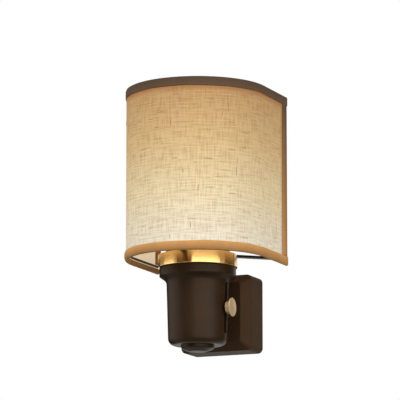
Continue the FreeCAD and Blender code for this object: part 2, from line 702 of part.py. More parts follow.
def leads():
    """Three internal leads: neutral and live through the neck, and the dimmed one."""
    behind = NECK_TUBE_FRONT - 2.4
    terminal = -BLADE_TAIL - 0.2
    solder_x = BLADE_PITCH / 2 - 0.6
    board = BOARD_X - GRIP
    under = HOLDER_LOW - GRIP
    side = AXIS_Y - BOARD_HALF_Y + 1.2
    neutral = lead([V(-solder_x, terminal, 0), V(-4.6, terminal - 1.6, 0),
                    V(-LEAD_X, LEAD_ENTRY_Y, 0), V(-LEAD_X, behind, 0),
                    V(-LEAD_X, behind, under)])
    live = lead([V(solder_x, terminal, 0), V(4.6, terminal - 1.6, 0),
                 V(LEAD_X, LEAD_ENTRY_Y, 0), V(LEAD_X, behind, 0),
                 V(LEAD_X, behind, LEAD_BOARD_Z), V(board, behind, LEAD_BOARD_Z)])
    dimmed = lead([V(board, side, LEAD_DIMMED_Z), V(LEAD_DIMMED_X, side, LEAD_DIMMED_Z),
                   V(LEAD_DIMMED_X, side, under)])
    return {"lead_neutral": neutral, "lead_live": live, "lead_dimmed": dimmed}


def pieces():
    """Every named piece of the lamp."""
    table = {
        "plug_block": plug_block(),
        "back_plate": back_plate(),
        "plate_screws": plate_screws(),
        "blade_neutral": blade(*BLADES[0]),
        "blade_live": blade(*BLADES[1]),
        "blade_carrier": blade_carrier(),
        "neck_spacer": neck_spacer(),
        "neck_tube": neck_tube(),
        "block_nut": block_nut(),
        "body_nut": body_nut(),
        "body_shell": body_shell(),
        "bottom_cap": bottom_cap(),
        "lamp_tube": lamp_tube(),
        "tube_nut": tube_nut(),
        "dimmer_board": dimmer_board(),
        "dimmer_track": dimmer_track(),
        "dimmer_carriage": dimmer_carriage(),
        "dimmer_knob": dimmer_knob(),
        "brass_collar": brass_collar(),
        "top_cap": top_cap(),
        "lampholder": lampholder(),
        "screw_shell": screw_shell(),
        "centre_contact": centre_contact(),
        "retaining_ring": retaining_ring(),
        "bulb_cap": bulb_cap(),
        "bulb_insulator": bulb_insulator(),
        "bulb_tip": bulb_tip(),
        "bulb_glass": bulb_glass(),
        "bulb_stem": bulb_stem(),
        "shade_spider": shade_spider(),
        "hoop_bottom": frame_wire(WIRE_LOW),
        "hoop_top": frame_wire(WIRE_TOP),
        "upright_left": upright_wire(-1),
        "upright_right": upright_wire(1),
        "shade_liner": shade_liner(),
        "shade_linen": shade_linen(),
        "tape_bottom": edge_tape(SHADE_LOW, 1, TAPE_INNER_LOW),
        "tape_top": edge_tape(SHADE_TOP, -1, TAPE_W),
        "tape_left": side_tape(-1),
        "tape_right": side_tape(1),
    }
    table.update(leads())
    return table


os.makedirs("parts", exist_ok=True)
for piece_name, piece_shape in pieces().items():
    save(piece_name, piece_shape)
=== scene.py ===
import logging
import math
from dataclasses import dataclass, field
from enum import Enum

import bmesh
import bpy
from bmesh.types import BMesh, BMVert
from bpy.types import ID, Material, Node, NodeSocket, NodeTree, Object
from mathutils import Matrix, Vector


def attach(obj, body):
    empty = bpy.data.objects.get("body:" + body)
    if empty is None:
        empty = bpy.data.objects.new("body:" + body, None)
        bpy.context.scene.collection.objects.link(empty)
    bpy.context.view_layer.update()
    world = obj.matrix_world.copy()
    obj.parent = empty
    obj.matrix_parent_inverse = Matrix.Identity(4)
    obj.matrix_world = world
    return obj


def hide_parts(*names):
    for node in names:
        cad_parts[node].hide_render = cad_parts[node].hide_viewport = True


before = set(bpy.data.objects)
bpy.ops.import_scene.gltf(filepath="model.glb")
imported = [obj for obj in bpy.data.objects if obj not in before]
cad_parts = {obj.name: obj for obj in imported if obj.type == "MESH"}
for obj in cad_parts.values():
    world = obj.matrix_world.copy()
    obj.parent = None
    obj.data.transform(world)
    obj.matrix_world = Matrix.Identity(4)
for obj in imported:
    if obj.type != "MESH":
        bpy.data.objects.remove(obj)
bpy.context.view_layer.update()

LOG = logging.getLogger("night_light")
MM = 0.001

# Camera of the photograph, found by fitting it to the object's edges
CAMERA_PLACE = Vector((0.69536, -1.65901, -0.26035))
CAMERA_YAW = math.radians(23.25)
CAMERA_PITCH = math.radians(10.39)
FOCAL_PIXELS = 3136.3
FRAME_PIXELS = 400
SENSOR_MM = 36.0

AXIS_Y = -43.8 * MM      # upright axis of the body, the bulb and the shade


class Grain(Enum):
    """Which way a metal was brushed or drawn, as the scale of its noise on each axis."""

    AROUND = (0.02, 0.02, 1.0)
    ALONG = (1.0, 0.03, 1.0)


class Edge(Enum):
    """Long edge of the shade that a tape binds, and the way its legs stand from it."""

    BOTTOM = 1
    TOP = -1


class Side(Enum):
    """Upright back edge of the shade, by the sign of its place across the lamp."""

    LEFT = -1
    RIGHT = 1


def linear(colour: str) -> tuple[float, float, float, float]:
    """Turn an sRGB hex colour into linear values.

    Args:
        colour: Six hex digits with a leading hash.

    Returns:
        Linear red, green and blue, and full opacity.
    """
    parts = [int(colour[i:i + 2], 16) / 255 for i in (1, 3, 5)]
    spread = [c / 12.92 if c <= 0.04045 else ((c + 0.055) / 1.055) ** 2.4 for c in parts]
    return (*spread, 1.0)


def add_node(tree: NodeTree, kind: str, inputs: dict | None = None,
             **settings: object) -> Node:
    """Add one node with its settings, values and links.

    Args:
        tree: Tree that takes the node.
        kind: Blender's identifier of the node.
        inputs: Socket name or index to a value, or to an output socket to link from.
        **settings: Properties of the node itself.

    Returns:
        The new node.
    """
    node = tree.nodes.new(kind)
    for name, value in settings.items():
        setattr(node, name, value)
    for name, value in (inputs or {}).items():
        if isinstance(value, NodeSocket):
            tree.links.new(value, node.inputs[name])
        else:
            node.inputs[name].default_value = value
    return node


def put(name: str, data: ID) -> Object:
    """Make an object of a mesh, lamp or camera and link it to the scene."""
    thing = bpy.data.objects.new(name, data)
    bpy.context.scene.collection.objects.link(thing)
    return thing


class Finish:
    """Base of every finish: starts a material and keeps one copy of it."""

    made: dict[str, Material] = {}
    name: str

    def material(self) -> Material:
        """Make this finish's material on first use.

        Returns:
            The one material of its name.
        """
        if self.name not in Finish.made:
            material = bpy.data.materials.new(self.name)
            material.use_nodes = True
            material.node_tree.nodes.clear()
            shader = self.shade(material.node_tree)
            add_node(material.node_tree, "ShaderNodeOutputMaterial",
                     {"Surface": shader.outputs[0]})
            Finish.made[self.name] = material
        return Finish.made[self.name]

    def shade(self, tree: NodeTree) -> Node:
        """Build the nodes of this finish.

        Args:
            tree: The material's tree.

        Returns:
            The shader node.
        """
        raise NotImplementedError


@dataclass(frozen=True)
class MouldedPlastic(Finish):
    """Injection-moulded ABS or phenolic, spark-eroded matt: soft broad highlights."""

    name: str
    colour: str
    worn: str
    roughness: float = 0.46
    specular: float = 0.5
    grain_mm: float = 0.9     # real spark grain is near 0.1 mm, drawn coarser to show
    depth: float = 0.04
    handling_mm: float = 14.0

    def shade(self, tree: NodeTree) -> Node:
        """Add fine grain in bump and roughness, and a faint cloud of handling.

        Args:
            tree: The material's tree.

        Returns:
            The shader node.
        """
        place = add_node(tree, "ShaderNodeTexCoord").outputs["Object"]
        grain = add_node(tree, "ShaderNodeTexNoise", {
            "Vector": place, "Scale": 1 / (self.grain_mm * MM), "Detail": 3.0})
        cloud = add_node(tree, "ShaderNodeTexNoise", {
            "Vector": place, "Scale": 1 / (self.handling_mm * MM), "Detail": 2.0})
        tint = add_node(tree, "ShaderNodeMix", {
            "Factor": cloud.outputs["Fac"], "A": linear(self.colour), "B": linear(self.worn)},
            data_type="RGBA")
        rough = add_node(tree, "ShaderNodeMapRange", {
            "Value": grain.outputs["Fac"], "To Min": self.roughness - 0.05,
            "To Max": self.roughness + 0.07})
        bump = add_node(tree, "ShaderNodeBump", {
            "Height": grain.outputs["Fac"], "Strength": 0.25, "Distance": self.depth * MM})
        return add_node(tree, "ShaderNodeBsdfPrincipled", {
            "Base Color": tint.outputs["Result"], "Roughness": rough.outputs["Result"],
            "Normal": bump.outputs["Normal"], "IOR": 1.5,
            "Specular IOR Level": self.specular})


@dataclass(frozen=True)
class WorkedMetal(Finish):
    """Brass or steel, brushed or drawn: long hairlines that stretch the highlight."""

    name: str
    colour: str
    dark: str
    roughness: float = 0.28
    grain: Grain = Grain.AROUND
    hairline_mm: float = 0.35   # real hairlines are near 0.05 mm, drawn coarser to show
    depth: float = 0.012
    stretch: float = 0.0        # how far the hairlines draw the highlight out across them

    def shade(self, tree: NodeTree) -> Node:
        """Draw hairlines from noise stretched along the brushing.

        Args:
            tree: The material's tree.

        Returns:
            The shader node.
        """
        place = add_node(tree, "ShaderNodeTexCoord").outputs["Object"]
        centred = add_node(tree, "ShaderNodeMapping", {
            "Vector": place, "Location": (0, -AXIS_Y, 0)})
        drawn = add_node(tree, "ShaderNodeMapping", {
            "Vector": centred.outputs["Vector"], "Scale": self.grain.value})
        lines = add_node(tree, "ShaderNodeTexNoise", {
            "Vector": drawn.outputs["Vector"], "Scale": 1 / (self.hairline_mm * MM),
            "Detail": 4.0})
        tint = add_node(tree, "ShaderNodeMix", {
            "Factor": lines.outputs["Fac"], "A": linear(self.colour), "B": linear(self.dark)},
            data_type="RGBA")
        rough = add_node(tree, "ShaderNodeMapRange", {
            "Value": lines.outputs["Fac"], "To Min": self.roughness - 0.06,
            "To Max": self.roughness + 0.06})
        bump = add_node(tree, "ShaderNodeBump", {
            "Height": lines.outputs["Fac"], "Strength": 0.2, "Distance": self.depth * MM})
        across = add_node(tree, "ShaderNodeCombineXYZ", {"Z": 1.0})
        return add_node(tree, "ShaderNodeBsdfPrincipled", {
            "Base Color": tint.outputs["Result"], "Metallic": 1.0,
            "Roughness": rough.outputs["Result"], "Normal": bump.outputs["Normal"],
            "Anisotropic": self.stretch, "Tangent": across.outputs["Vector"]})


@dataclass(frozen=True)
class SlubLinen(Finish):
    """Plain-weave linen lit from behind: fine square weave, uneven yarns and brown slubs."""

    name: str
    # painted light: the bulb's glow through the cloth, brightest at the bottom
    glow_levels: tuple[str, ...]        # from the bottom edge up to the top edge
    shadow: str                    # colour where two thick yarns cross
    slub: str
    thread_mm: float = 0.85        # real yarns are near 0.5 mm, drawn coarser to show
    tall_mm: float = 98.1
    long_mm: float = 198.4
    top_tape_mm: float = 5.3       # cloth that the tapes cover
    side_tape_mm: float = 7.6
    dim_mm: float = 2.6            # beside a tape its inner leg dims the glow
    dim_colour: str = "#A0602C"
    dim_share: float = 0.6
    uneven: float = 0.55           # how far thick yarns darken where they cross
    pores: tuple[float, float] = (0.90, 1.05)
    slub_share: float = 0.55
    margin: float = 0.06           # share of the height before the first level and past the last
    yarn: tuple[float, float] = (0.30, 0.72)     # noise where a thick yarn begins and is full
    # painted glow: emission standing in for the bulb's light through the cloth
    glow: float = 0.18

    def beside_tape(self, tree: NodeTree, parts: Node) -> NodeSocket:
        """Strip along the top and side tapes where less light comes through.

        Args:
            tree: The material's tree.
            parts: Node that splits the place on the flat cloth.

        Returns:
            Socket that is dim_share at a tape and 0 at dim_mm from it.
        """
        nearest = None
        for axis, way, start in (("X", 1.0, -self.side_tape_mm),
                                 ("X", -1.0, self.long_mm - self.side_tape_mm),
                                 ("Y", -1.0, self.tall_mm - self.top_tape_mm)):
            gap = add_node(tree, "ShaderNodeMath", {
                0: parts.outputs[axis], 1: way, 2: start}, operation="MULTIPLY_ADD")
            if nearest is None:
                nearest = gap
            else:
                nearest = add_node(tree, "ShaderNodeMath", {
                    0: nearest.outputs["Value"], 1: gap.outputs["Value"]},
                    operation="MINIMUM")
        return add_node(tree, "ShaderNodeMapRange", {
            "Value": nearest.outputs["Value"], "From Min": 0.0, "From Max": self.dim_mm,
            "To Min": self.dim_share, "To Max": 0.0}).outputs["Result"]

    def streaks(self, tree: NodeTree, flat: NodeSocket, stretch: tuple[float, float, float],
                low: float, high: float) -> NodeSocket:
        """Marks that run along one set of yarns.

        Args:
            tree: The material's tree.
            flat: Place on the flat cloth in millimetres.
            stretch: Scale of the noise along and across the yarns.
            low: Noise value where a mark begins.
            high: Noise value where it is full.

        Returns:
            Socket that is 1 on a mark and 0 off it.
        """
        mapped = add_node(tree, "ShaderNodeMapping", {"Vector": flat, "Scale": stretch})
        noise = add_node(tree, "ShaderNodeTexNoise", {
            "Vector": mapped.outputs["Vector"], "Scale": 1.0, "Detail": 3.0,
            "Roughness": 0.6})
        return add_node(tree, "ShaderNodeMapRange", {
            "Value": noise.outputs["Fac"], "From Min": low,
            "From Max": high}).outputs["Result"]

    def shade(self, tree: NodeTree) -> Node:
        """Draw weave and slubs on the cloth's own flat place, in millimetres, over a painted
        glow that is brightest at the bottom.

        Args:
            tree: The material's tree.

        Returns:
            The shader node.
        """
        flat = add_node(tree, "ShaderNodeAttribute", attribute_name="flat_mm").outputs["Vector"]
        parts = add_node(tree, "ShaderNodeSeparateXYZ", {"Vector": flat})
        height = add_node(tree, "ShaderNodeMapRange", {
            "Value": parts.outputs["Y"], "From Min": 0.0, "From Max": self.tall_mm})
        level = add_node(tree, "ShaderNodeValToRGB", {"Fac": height.outputs["Result"]})
        stops = level.color_ramp.elements
        while len(stops) < len(self.glow_levels):
            stops.new(0.5)
        for i, colour in enumerate(self.glow_levels):
            stops[i].position = self.margin + (1 - 2 * self.margin) * i / (
                len(self.glow_levels) - 1)
            stops[i].color = linear(colour)
        warp = self.streaks(tree, flat, (1 / self.thread_mm, 0.10, 1), *self.yarn)
        weft = self.streaks(tree, flat, (0.08, 1 / self.thread_mm, 1), *self.yarn)
        both = add_node(tree, "ShaderNodeMath", {0: warp, 1: weft}, operation="ADD")
        uneven = add_node(tree, "ShaderNodeMapRange", {
            "Value": both.outputs["Value"], "From Min": 0.7, "From Max": 1.7,
            "To Min": 0.0, "To Max": self.uneven})
        cloth = add_node(tree, "ShaderNodeMix", {
            "Factor": uneven.outputs["Result"], "A": level.outputs["Color"],
            "B": linear(self.shadow)}, data_type="RGBA", blend_type="MULTIPLY")
        waves = []
        for axis in ("X", "Y"):
            waves.append(add_node(tree, "ShaderNodeTexWave", {
                "Vector": flat, "Scale": math.pi / (10 * self.thread_mm), "Distortion": 0.5,
                "Detail": 1.0, "Detail Scale": 0.3}, bands_direction=axis))
        weave = add_node(tree, "ShaderNodeMath", {
            0: waves[0].outputs["Fac"], 1: waves[1].outputs["Fac"]}, operation="MULTIPLY")
        pores = add_node(tree, "ShaderNodeMapRange", {
            "Value": weave.outputs["Value"], "To Min": self.pores[0],
            "To Max": self.pores[1]})
        woven = add_node(tree, "ShaderNodeVectorMath", {
            0: cloth.outputs["Result"], "Scale": pores.outputs["Result"]}, operation="SCALE")
        dimmed = add_node(tree, "ShaderNodeMix", {
            "Factor": self.beside_tape(tree, parts), "A": woven.outputs["Vector"],
            "B": linear(self.dim_colour)}, data_type="RGBA")
        along = self.streaks(tree, flat, (0.12, 1.5, 1), 0.66, 0.78)
        across = self.streaks(tree, flat, (1.5, 0.16, 1), 0.68, 0.80)
        slubs = add_node(tree, "ShaderNodeMath", {0: along, 1: across}, operation="MAXIMUM")
        faint = add_node(tree, "ShaderNodeMath", {
            0: slubs.outputs["Value"], 1: self.slub_share}, operation="MULTIPLY")
        slubbed = add_node(tree, "ShaderNodeMix", {
            "Factor": faint.outputs["Value"], "A": dimmed.outputs["Result"],
            "B": linear(self.slub)}, data_type="RGBA")
        relief = add_node(tree, "ShaderNodeMath", {
            0: weave.outputs["Value"], 1: both.outputs["Value"]}, operation="ADD")
        bump = add_node(tree, "ShaderNodeBump", {
            "Height": relief.outputs["Value"], "Strength": 0.45, "Distance": 0.1 * MM})
        return add_node(tree, "ShaderNodeBsdfPrincipled", {
            "Base Color": slubbed.outputs["Result"], "Roughness": 0.88,
            "Normal": bump.outputs["Normal"], "Specular IOR Level": 0.2,
            "Emission Color": slubbed.outputs["Result"], "Emission Strength": self.glow})


@dataclass(frozen=True)
class BindingTape(Finish):
    """Cotton binding tape, folded and glued: dull, with a fine rib across its width."""

    name: str
    # top and bottom colours are painted light: the lamp's light is stronger low down
    top: str
    bottom: str
    rib_mm: float = 0.7            # real ribs are near 0.4 mm, drawn coarser to show
    # painted glow standing in for the lamp's light through the tape
    glow: float = 0.10
    low_mm: float = 27.0           # heights between which the colour changes
    high_mm: float = 122.0
    width_mm: tuple[float, float] = (1.0, 6.0)   # from the free edge to the fold
    painted_edge_glow: float = 1.20        # painted glow: the glowing linen shows through near the free edge
    painted_fold_shade: float = 0.66        # and painted shade darkens the fold, where the roll turns down

    def shade(self, tree: NodeTree) -> Node:
        """Draw ribs on the tape's own flat place, with painted lamp light stronger low down, a
        painted glow at the free edge and painted shade at the fold.

        Args:
            tree: The material's tree.

        Returns:
            The shader node.
        """
        place = add_node(tree, "ShaderNodeTexCoord").outputs["Object"]
        flat = add_node(tree, "ShaderNodeAttribute", attribute_name="flat_mm").outputs["Vector"]
        parts = add_node(tree, "ShaderNodeSeparateXYZ", {"Vector": place})
        height = add_node(tree, "ShaderNodeMapRange", {
            "Value": parts.outputs["Z"], "From Min": self.low_mm * MM,
            "From Max": self.high_mm * MM})
        level = add_node(tree, "ShaderNodeMix", {
            "Factor": height.outputs["Result"], "A": linear(self.bottom),
            "B": linear(self.top)}, data_type="RGBA")
        weave = add_node(tree, "ShaderNodeTexNoise", {
            "Vector": flat, "Scale": 1 / self.rib_mm, "Detail": 3.0})
        cloud = add_node(tree, "ShaderNodeTexNoise", {
            "Vector": flat, "Scale": 0.12, "Detail": 2.0})
        mixed = add_node(tree, "ShaderNodeMath", {
            0: weave.outputs["Fac"], 1: cloud.outputs["Fac"]}, operation="ADD")
        uneven = add_node(tree, "ShaderNodeMapRange", {
            "Value": mixed.outputs["Value"], "From Min": 0.6, "From Max": 1.4,
            "To Min": 0.84, "To Max": 1.12})
        width = add_node(tree, "ShaderNodeSeparateXYZ", {"Vector": flat})
        # painted glow at the free edge and painted shade at the fold
        fold = add_node(tree, "ShaderNodeMapRange", {
            "Value": width.outputs["Y"], "From Min": self.width_mm[0],
            "From Max": self.width_mm[1], "To Min": self.painted_edge_glow,
            "To Max": self.painted_fold_shade})
        lit = add_node(tree, "ShaderNodeMath", {
            0: uneven.outputs["Result"], 1: fold.outputs["Result"]}, operation="MULTIPLY")
        cloth = add_node(tree, "ShaderNodeVectorMath", {
            0: level.outputs["Result"], "Scale": lit.outputs["Value"]}, operation="SCALE")
        ribs = add_node(tree, "ShaderNodeTexWave", {
            "Vector": flat, "Scale": math.pi / (10 * self.rib_mm), "Distortion": 0.8,
            "Detail": 1.0}, bands_direction="X")
        relief = add_node(tree, "ShaderNodeMath", {
            0: weave.outputs["Fac"], 1: ribs.outputs["Fac"]}, operation="ADD")
        bump = add_node(tree, "ShaderNodeBump", {
            "Height": relief.outputs["Value"], "Strength": 0.35, "Distance": 0.08 * MM})
        return add_node(tree, "ShaderNodeBsdfPrincipled", {
            "Base Color": cloth.outputs["Vector"], "Roughness": 0.84,
            "Specular IOR Level": 0.25, "Normal": bump.outputs["Normal"],
            "Emission Color": cloth.outputs["Vector"], "Emission Strength": self.glow})


@dataclass(frozen=True)
class GlowingShell(Finish):
    """Translucent sheet, frosted glass or phosphor that passes the lamp's warm light."""

    name: str
    colour: str
    glow_colour: str
    glow: float
    roughness: float = 0.5
    cloud_mm: float = 3.0

    def shade(self, tree: NodeTree) -> Node:
        """Draw a soft cloud in the colour and an even glow.

        Args:
            tree: The material's tree.

        Returns:
            The shader node.
        """
        place = add_node(tree, "ShaderNodeTexCoord").outputs["Object"]
        cloud = add_node(tree, "ShaderNodeTexNoise", {
            "Vector": place, "Scale": 1 / (self.cloud_mm * MM), "Detail": 3.0})
        warmer = add_node(tree, "ShaderNodeMix", {
            "Factor": cloud.outputs["Fac"], "A": linear(self.colour),
            "B": linear(self.glow_colour)}, data_type="RGBA")
        bump = add_node(tree, "ShaderNodeBump", {
            "Height": cloud.outputs["Fac"], "Strength": 0.2, "Distance": 0.03 * MM})
        return add_node(tree, "ShaderNodeBsdfPrincipled", {
            "Base Color": warmer.outputs["Result"], "Roughness": self.roughness,
            "Normal": bump.outputs["Normal"], "Emission Color": linear(self.glow_colour),
            "Emission Strength": self.glow, "IOR": 1.5})


BLACK_ABS = MouldedPlastic("moulded_black_abs", "#2C1E11", "#3B2A18", roughness=0.34,
                           specular=0.06)
BLOCK_ABS = MouldedPlastic("moulded_black_abs_matt", "#3E2C1B", "#4C3723", roughness=0.5,
                           specular=0.03)
PHENOLIC = MouldedPlastic("black_phenolic", "#14110E", "#1D1915", roughness=0.55,
                          specular=0.12)
WHITE_CAP = MouldedPlastic("white_polypropylene", "#EDE6D6", "#E2D8C4", roughness=0.5)
IVORY = MouldedPlastic("ivory_urea", "#CBAE82", "#BC9C6E", roughness=0.36, grain_mm=1.4)
BOARD_GREEN = MouldedPlastic("solder_mask", "#1F4A2C", "#2A5A36", roughness=0.35)
WIRE_ENAMEL = MouldedPlastic("black_wire_enamel", "#100D0B", "#181410", roughness=0.36,
                             specular=0.1)
LEAD_PVC_BLACK = MouldedPlastic("black_lead_pvc", "#1A1A1A", "#242424", roughness=0.4)
LEAD_PVC_WHITE = MouldedPlastic("white_lead_pvc", "#DAD7CE", "#CFCBC0", roughness=0.4)
VITRITE = MouldedPlastic("black_vitrite", "#101014", "#1A1A20", roughness=0.12)
BRUSHED_BRASS = WorkedMetal("brushed_brass", "#F8D794", "#DFAC60", roughness=0.21,
                            stretch=0.95)
DRAWN_BRASS = WorkedMetal("drawn_brass", "#D8B56A", "#B08F4A", roughness=0.3)
NICKEL = WorkedMetal("nickel_plate", "#C9C6BE", "#AFACA4", roughness=0.24, grain=Grain.ALONG)
ZINC = WorkedMetal("zinc_plated_steel", "#B4B6B8", "#9A9C9E", roughness=0.36)
# The linen's levels are painted light: the bulb's glow, pale cream low down and darker gold at
# the top.
LINEN = SlubLinen("slub_linen", ("#F5ECD6", "#F0DDB2", "#DEBE88", "#C59D68"),
                  "#BE955C", "#7A5226")
# The tape's colours are painted light: unlit dark brown at the top, lit tan at the bottom.
TAPE = BindingTape("binding_tape", "#4E3822", "#C28B4C")
# The backing and the slub yarns glow: painted light standing in for the bulb's light through
# them.
BACKING = GlowingShell("styrene_backing", "#F6EFDF", "#FFEBC8", 0.32)
SLUB_YARN = GlowingShell("linen_slub_yarn", "#96682F", "#A87A40", 0.12, roughness=0.9)
FROSTED = GlowingShell("frosted_bulb_glass", "#FBF3E0", "#FFD896", 1.15, roughness=0.35)
PHOSPHOR = GlowingShell("phosphor", "#FFF0C8", "#FFD68A", 1.8)

CAD_FINISHES: dict[str, Finish] = {
    "plug_block": BLOCK_ABS, "back_plate": BLOCK_ABS, "plate_screws": ZINC,
    "blade_neutral": NICKEL, "blade_live": NICKEL, "blade_carrier": PHENOLIC,
    "neck_spacer": BLOCK_ABS, "neck_tube": ZINC, "block_nut": ZINC, "body_nut": ZINC,
    "body_shell": BLACK_ABS, "bottom_cap": BLACK_ABS, "lamp_tube": ZINC, "tube_nut": ZINC,
    "dimmer_board": BOARD_GREEN, "dimmer_track": PHENOLIC, "dimmer_carriage": PHENOLIC,
    "dimmer_knob": IVORY, "brass_collar": BRUSHED_BRASS, "top_cap": WHITE_CAP,
    "lampholder": PHENOLIC, "screw_shell": DRAWN_BRASS, "centre_contact": DRAWN_BRASS,
    "retaining_ring": PHENOLIC, "bulb_cap": NICKEL, "bulb_insulator": VITRITE,
    "bulb_tip": ZINC, "bulb_glass": FROSTED, "bulb_stem": PHOSPHOR,
    "shade_spider": WIRE_ENAMEL, "hoop_bottom": WIRE_ENAMEL, "hoop_top": WIRE_ENAMEL,
    "upright_left": WIRE_ENAMEL, "upright_right": WIRE_ENAMEL, "shade_liner": BACKING,
    "lead_neutral": LEAD_PVC_WHITE, "lead_live": LEAD_PVC_BLACK,
    "lead_dimmed": LEAD_PVC_BLACK,
}


@dataclass
class CarriedParts:
    """The pieces whose modelled shape is final: each only gets its finish."""

    finishes: dict[str, Finish]

    def dress(self) -> None:
        """Give every carried-over piece its material."""
        for name, finish in self.finishes.items():
            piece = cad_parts[name]
            piece.data.materials.clear()
            piece.data.materials.append(finish.material())
            LOG.info("%s finished as %s", name, finish.name)


class NodeShape:
    """A Geometry Nodes tree with named inputs, and the plain mesh that it gives."""

    def __init__(self, name: str) -> None:
        """Start an empty tree with a geometry output.

        Args:
            name: Name of the tree and of the piece.
        """
        self.name = name
        self.tree = bpy.data.node_groups.new(name, "GeometryNodeTree")
        self.tree.interface.new_socket("Geometry", in_out="OUTPUT",
                                       socket_type="NodeSocketGeometry")
        self.values: dict[str, float] = {}

    def take(self, **sizes: float) -> dict[str, NodeSocket]:
        """Args:
            **sizes: Name and value of each size.

        Returns:
            Name of each size to its socket inside the tree.
        """
        for name, value in sizes.items():
            whole = isinstance(value, int)
            socket = self.tree.interface.new_socket(
                name, in_out="INPUT",
                socket_type="NodeSocketInt" if whole else "NodeSocketFloat")
            self.values[socket.identifier] = value
        entry = self.add("NodeGroupInput")
        return {name: entry.outputs[name] for name in sizes}

    def add(self, kind: str, inputs: dict | None = None, **settings: object) -> Node:
        """Add a node to this tree, as add_node does."""
        return add_node(self.tree, kind, inputs, **settings)

    def maths(self, operation: str, first: object, second: object = 0.0,
              third: object = 0.0) -> NodeSocket:
        """Add one sum and return its value."""
        return self.add("ShaderNodeMath", {0: first, 1: second, 2: third},
                        operation=operation).outputs["Value"]

    def finish(self, geometry: NodeSocket, finish: Finish) -> Object:
        """End the tree, evaluate it and keep the plain mesh.

        Args:
            geometry: Socket of the finished geometry.
            finish: Finish that the piece gets.

        Returns:
            Object at the origin with the mesh.
        """
        real = self.add("GeometryNodeRealizeInstances", {"Geometry": geometry})
        dressed = self.add("GeometryNodeSetMaterial", {
            "Geometry": real.outputs["Geometry"], "Material": finish.material()})
        self.add("NodeGroupOutput", {"Geometry": dressed.outputs["Geometry"]})
        holder = put(self.name, bpy.data.meshes.new(self.name))
        modifier = holder.modifiers.new("shape", "NODES")
        modifier.node_group = self.tree
        for identifier, value in self.values.items():
            modifier[identifier] = value
        graph = bpy.context.evaluated_depsgraph_get()
        mesh = bpy.data.meshes.new_from_object(holder.evaluated_get(graph),
                                               preserve_all_data_layers=True, depsgraph=graph)
        holder.modifiers.clear()
        holder.data = mesh
        return holder


@dataclass
class ShadePlan:
    """Half-round plan of the shade with its two straight ends, in metres."""

    radius: float = 41.2 * MM
    back: float = -8.4 * MM
    low: float = 26.65 * MM
    high: float = 125.45 * MM
    straight_steps: int = 16
    round_steps: int = 96

    def straight(self, back: float) -> float:
        """Length of one straight end as far as a given back edge."""
        return back - AXIS_Y

    def length(self, inset: float, back: float) -> float:
        """Length round the plan at an inset."""
        return 2 * self.straight(back) + math.pi * (self.radius - inset)

    def stations(self, back: float) -> list[tuple[Vector, Vector, float]]:
        """Places along the plan, from the left back edge to the right one.

        Args:
            back: Place of the open ends along Y.

        Returns:
            For each station its place, its outward direction and its run in metres.
        """
        found = []
        straight = self.straight(back)
        for i in range(self.straight_steps):
            run = straight * i / self.straight_steps
            found.append((Vector((-self.radius, back - run, 0)), Vector((-1, 0, 0)), run))
        for i in range(self.round_steps + 1):
            angle = math.pi * i / self.round_steps
            out = Vector((-math.cos(angle), -math.sin(angle), 0))
            place = Vector((0, AXIS_Y, 0)) + out * self.radius
            found.append((place, out, straight + angle * self.radius))
        for i in range(1, self.straight_steps + 1):
            run = straight * i / self.straight_steps
            found.append((Vector((self.radius, AXIS_Y + run, 0)), Vector((1, 0, 0)),
                          straight + math.pi * self.radius + run))
        return found


def close_rows(bm: BMesh, rows: list[list[BMVert]]) -> None:
    """Join a row of equal rings with faces and close both its ends.

    Args:
        bm: Mesh that takes the faces.
        rows: Points of each ring.
    """
    count = len(rows[0])
    for before, after in zip(rows, rows[1:]):
        for i in range(count):
            j = (i + 1) % count
            bm.faces.new((before[i], before[j], after[j], after[i]))
    bm.faces.new(list(reversed(rows[0])))
    bm.faces.new(rows[-1])


def skin(name: str, rings: list[list[Vector]], runs: list[float], finish: Finish) -> Object:
    """Close a row of equal rings into one solid and keep its flat place.

    Args:
        name: Name of the piece.
        rings: Closed loops of points, one at each station.
        runs: Distance of each station along the piece, in metres.
        finish: Finish that the piece gets.

    Returns:
        Object at the origin with the attribute flat_mm.
    """
    bm = bmesh.new()
    layer = bm.verts.layers.float_vector.new("flat_mm")
    rows = []
    for ring, run in zip(rings, runs):
        row = []
        girth = 0.0
        for i, point in enumerate(ring):
            if i:
                girth += (point - ring[i - 1]).length
            vert = bm.verts.new(point)
            vert[layer] = (run / MM, girth / MM, 0)
            row.append(vert)
        rows.append(row)
    close_rows(bm, rows)
    bmesh.ops.recalc_face_normals(bm, faces=bm.faces)
    for face in bm.faces:
        face.smooth = len(face.verts) == 4
    mesh = bpy.data.meshes.new(name)
    bm.to_mesh(mesh)
    bm.free()
    mesh.materials.append(finish.material())
    return put(name, mesh)


